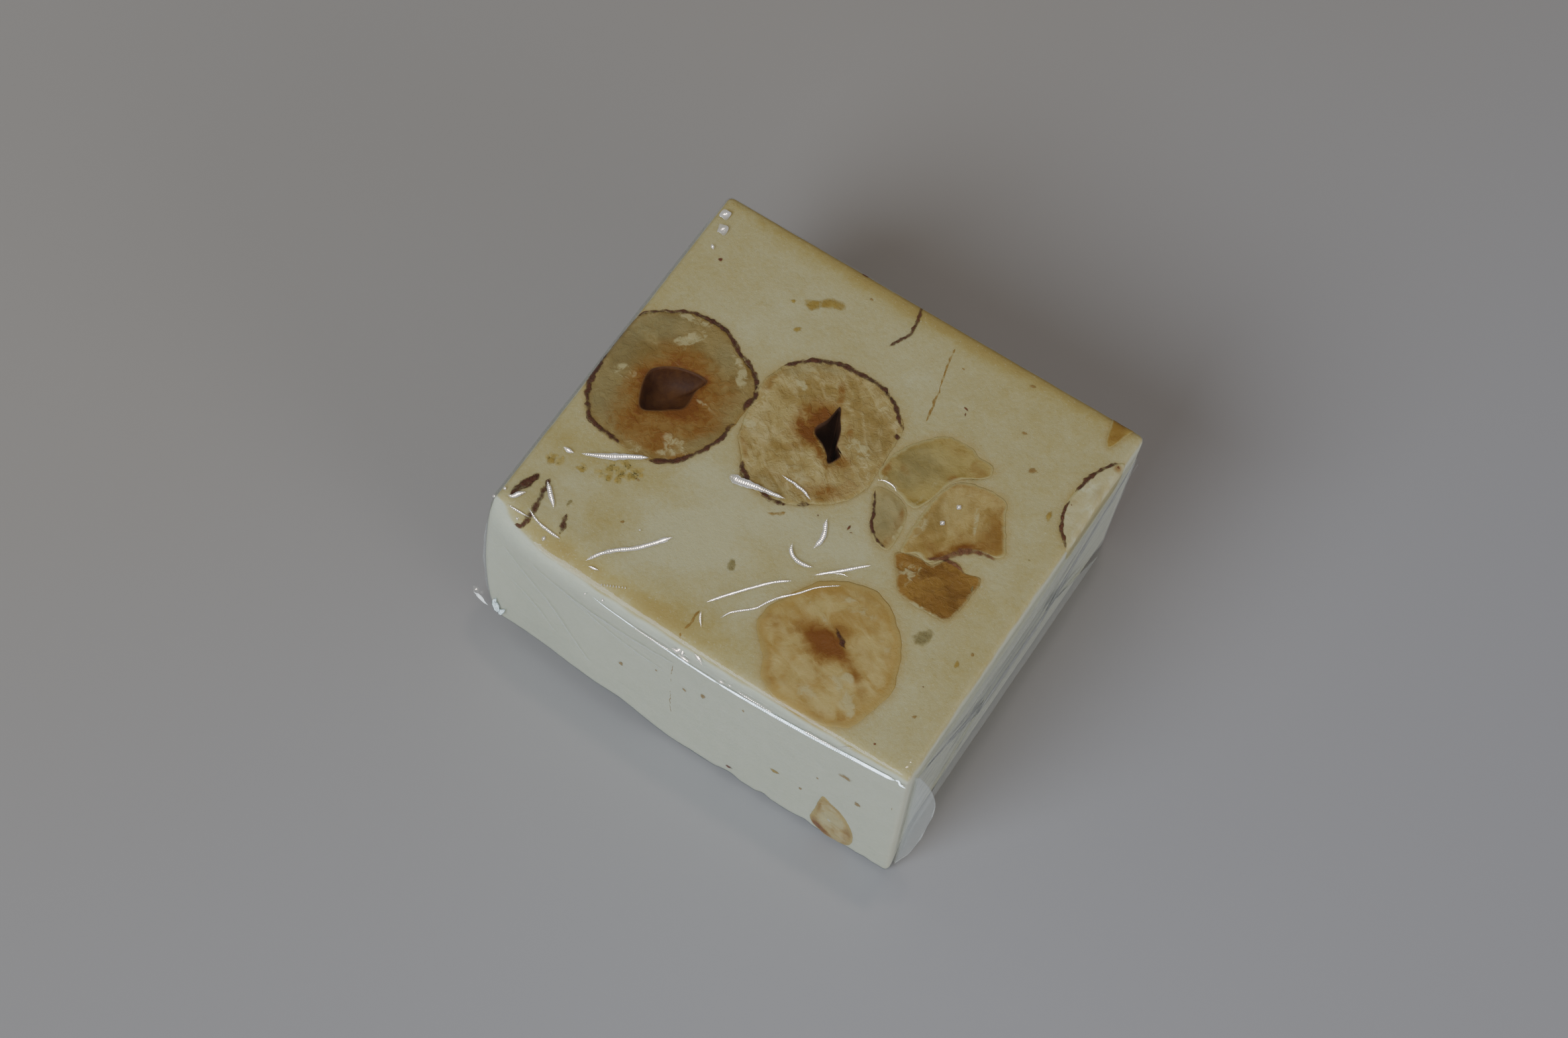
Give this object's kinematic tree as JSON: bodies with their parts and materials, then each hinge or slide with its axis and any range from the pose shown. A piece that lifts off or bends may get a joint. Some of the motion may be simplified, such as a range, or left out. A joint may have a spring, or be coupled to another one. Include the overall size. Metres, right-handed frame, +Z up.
{
  "type": "nougat bar",
  "caption": "Thick square piece of white nougat with hazelnut kernels cut through at its flat top, wrapped tight in clear film with folded ends.",
  "frame": {"origin": "centre of the underside of the wrapped piece, on the surface it rests on", "axes": "+Z up out of the cut top face; +X along the long front side, from the left folded end to the right folded end; +Y from the front side to the back"},
  "size_m": [0.0447, 0.0375, 0.0215],
  "materials": {
    "nougat": "soft satin, slightly translucent sugar and egg white mass",
    "kernel_pale": "cut, lightly roasted nut, fine fibres, slightly oily",
    "kernel_toasted": "cut, darker roasted nut, slightly oily",
    "clear_film": "clear glossy cellophane with creases"
  },
  "bodies": {
    "root": {"nougat": "nougat", "hazelnut_left": "kernel_toasted", "hazelnut_middle": "kernel_pale", "hazelnut_right_upper": "kernel_pale", "hazelnut_right_sliver": "kernel_pale", "hazelnut_right_main": "kernel_pale", "hazelnut_right_lower": "kernel_toasted", "hazelnut_front": "kernel_pale", "hazelnut_right_edge": "kernel_pale", "hazelnut_back_corner": "kernel_pale", "hazelnut_front_side": "kernel_pale", "film_wrap": "clear_film"}
  },
  "joints": []
}
